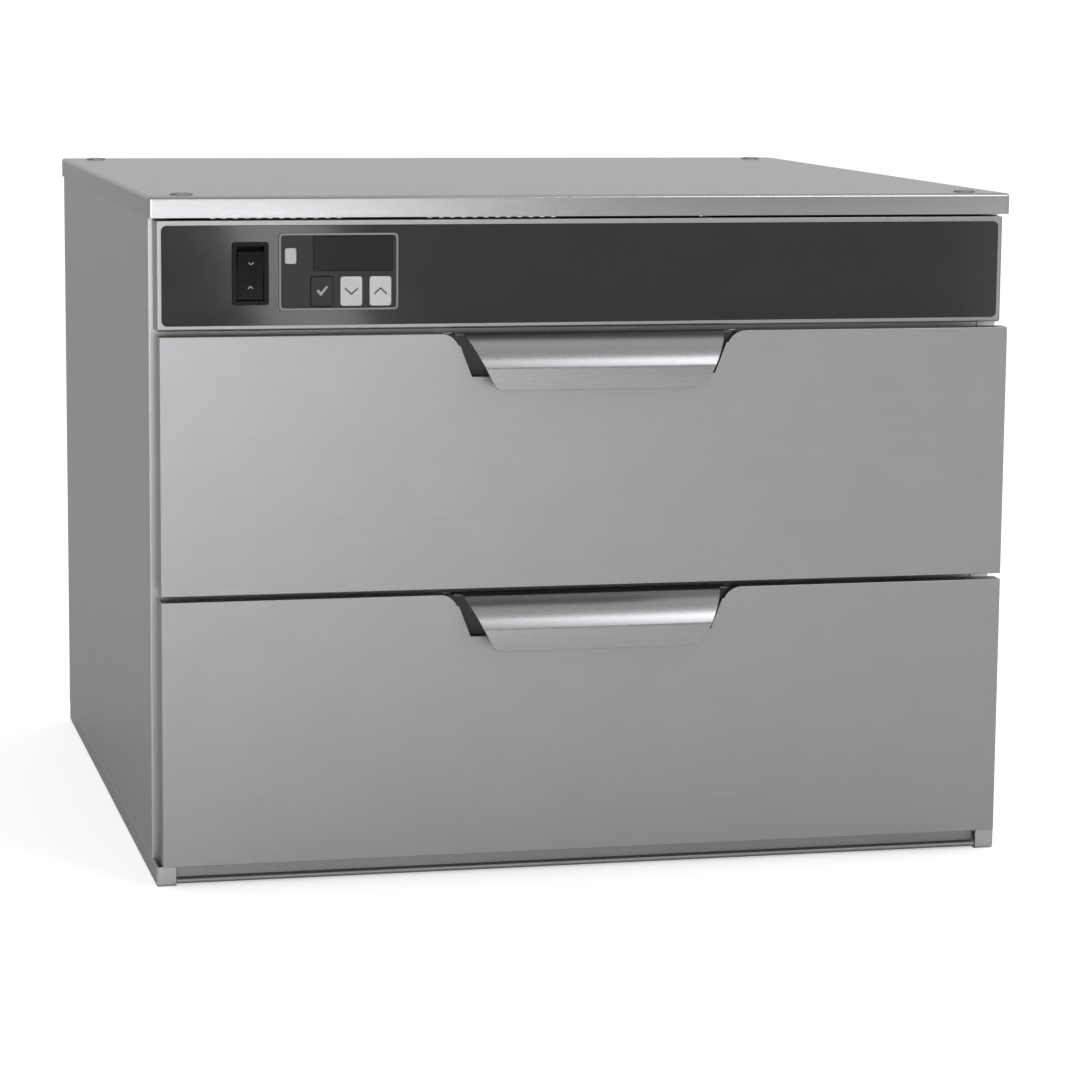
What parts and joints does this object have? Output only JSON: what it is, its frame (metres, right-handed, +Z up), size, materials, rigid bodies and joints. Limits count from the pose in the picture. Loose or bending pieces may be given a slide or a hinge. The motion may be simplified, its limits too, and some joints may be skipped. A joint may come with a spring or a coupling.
{
  "type": "countertop warming drawer",
  "caption": "Countertop food warmer in stainless steel with an upper and a lower pan drawer on rollers, and a black control strip with a rocker switch and keys.",
  "frame": {"origin": "middle of the lid's footprint, on the surface that the base stands on", "axes": "+X to the right seen from the front, +Y to the back, +Z up"},
  "size_m": [0.625, 0.653, 0.4852],
  "materials": {
    "brushed_stainless": "satin",
    "inner_stainless": "satin",
    "rail_steel": "satin",
    "hardware_steel": "satin",
    "cable_jacket": "matte",
    "insulation": "matte",
    "overlay_black": "gloss",
    "black_plastic": "matte",
    "bezel_grey": "satin",
    "window_dark": "gloss",
    "display_red": "matte",
    "lens_clear": "gloss",
    "board_green": "satin",
    "key_grey": "satin",
    "terminal_cream": "satin",
    "relay_case": "satin",
    "roller_nylon": "satin"
  },
  "bodies": {
    "cabinet": {"top_panel": "brushed_stainless", "top_hole_plugs": "hardware_steel", "left_side_panel": "brushed_stainless", "right_side_panel": "brushed_stainless", "back_panel": "brushed_stainless", "back_panel_screws": "hardware_steel", "base_pan": "brushed_stainless", "base_front_sill": "brushed_stainless", "leg_inserts": "hardware_steel", "front_frame": "brushed_stainless", "cavity_liner": "inner_stainless", "heating_cables": "cable_jacket", "side_insulation": "insulation", "top_insulation": "insulation", "base_insulation": "insulation", "back_insulation": "insulation", "control_fascia": "brushed_stainless", "control_overlay": "overlay_black", "controller_housing": "black_plastic", "controller_bezel": "bezel_grey", "display_window": "window_dark", "display_module": "display_red", "indicator_lens": "lens_clear", "control_board": "board_green", "switch_housing": "black_plastic", "component_shelf": "inner_stainless", "terminal_block": "terminal_cream", "power_relay": "relay_case", "high_limit_thermostat": "black_plastic", "temperature_sensor": "hardware_steel", "cord_gland": "black_plastic", "upper_tracks": "rail_steel", "lower_tracks": "rail_steel", "track_roller_pins": "hardware_steel"},
    "upper_drawer": {"upper_front_skin": "brushed_stainless", "upper_front_core": "insulation", "upper_front_liner": "inner_stainless", "upper_handle": "brushed_stainless", "upper_rail_frame": "rail_steel", "upper_pan": "inner_stainless", "upper_rail_pins": "hardware_steel", "upper_front_screws": "hardware_steel"},
    "upper_front_rollers": {"upper_front_rollers": "roller_nylon"},
    "upper_rear_rollers": {"upper_rear_rollers": "roller_nylon"},
    "lower_drawer": {"lower_front_skin": "brushed_stainless", "lower_front_core": "insulation", "lower_front_liner": "inner_stainless", "lower_handle": "brushed_stainless", "lower_rail_frame": "rail_steel", "lower_pan": "inner_stainless", "lower_rail_pins": "hardware_steel", "lower_front_screws": "hardware_steel"},
    "lower_front_rollers": {"lower_front_rollers": "roller_nylon"},
    "lower_rear_rollers": {"lower_rear_rollers": "roller_nylon"},
    "rocker": {"switch_rocker": "black_plastic"},
    "set_key": {"set_key": "black_plastic"},
    "down_key": {"down_key": "key_grey"},
    "up_key": {"up_key": "key_grey"}
  },
  "joints": [
    {"name": "upper_drawer_slide", "type": "slide", "parent": "cabinet", "child": "upper_drawer", "axis": [0, -1, 0], "range_m": [0, 0.41]},
    {"name": "upper_front_roller_spin", "type": "hinge", "parent": "cabinet", "child": "upper_front_rollers", "pos_m": [0, -0.2633, 0.33445], "axis": [1, 0, 0], "continuous": true},
    {"name": "upper_rear_roller_spin", "type": "hinge", "parent": "upper_drawer", "child": "upper_rear_rollers", "pos_m": [0, 0.2353, 0.33345], "axis": [1, 0, 0], "continuous": true},
    {"name": "lower_drawer_slide", "type": "slide", "parent": "cabinet", "child": "lower_drawer", "axis": [0, -1, 0], "range_m": [0, 0.41]},
    {"name": "lower_front_roller_spin", "type": "hinge", "parent": "cabinet", "child": "lower_front_rollers", "pos_m": [0, -0.2633, 0.14995], "axis": [1, 0, 0], "continuous": true},
    {"name": "lower_rear_roller_spin", "type": "hinge", "parent": "lower_drawer", "child": "lower_rear_rollers", "pos_m": [0, 0.2353, 0.14895], "axis": [1, 0, 0], "continuous": true},
    {"name": "power_rocker", "type": "hinge", "parent": "cabinet", "child": "rocker", "pos_m": [-0.2423, -0.2953, 0.43065], "axis": [-1, 0, 0], "range_deg": [0, 20]},
    {"name": "set_key_press", "type": "slide", "parent": "cabinet", "child": "set_key", "axis": [0, 1, 0], "range_m": [0, 0.0008], "stiffness_N_per_m": 300},
    {"name": "down_key_press", "type": "slide", "parent": "cabinet", "child": "down_key", "axis": [0, 1, 0], "range_m": [0, 0.0008], "stiffness_N_per_m": 300},
    {"name": "up_key_press", "type": "slide", "parent": "cabinet", "child": "up_key", "axis": [0, 1, 0], "range_m": [0, 0.0008], "stiffness_N_per_m": 300}
  ],
  "couplings": [
    {"joint": "upper_front_roller_spin", "follows": "upper_drawer_slide", "rad_per_m": 100},
    {"joint": "upper_rear_roller_spin", "follows": "upper_drawer_slide", "rad_per_m": 100},
    {"joint": "lower_front_roller_spin", "follows": "lower_drawer_slide", "rad_per_m": 100},
    {"joint": "lower_rear_roller_spin", "follows": "lower_drawer_slide", "rad_per_m": 100}
  ]
}
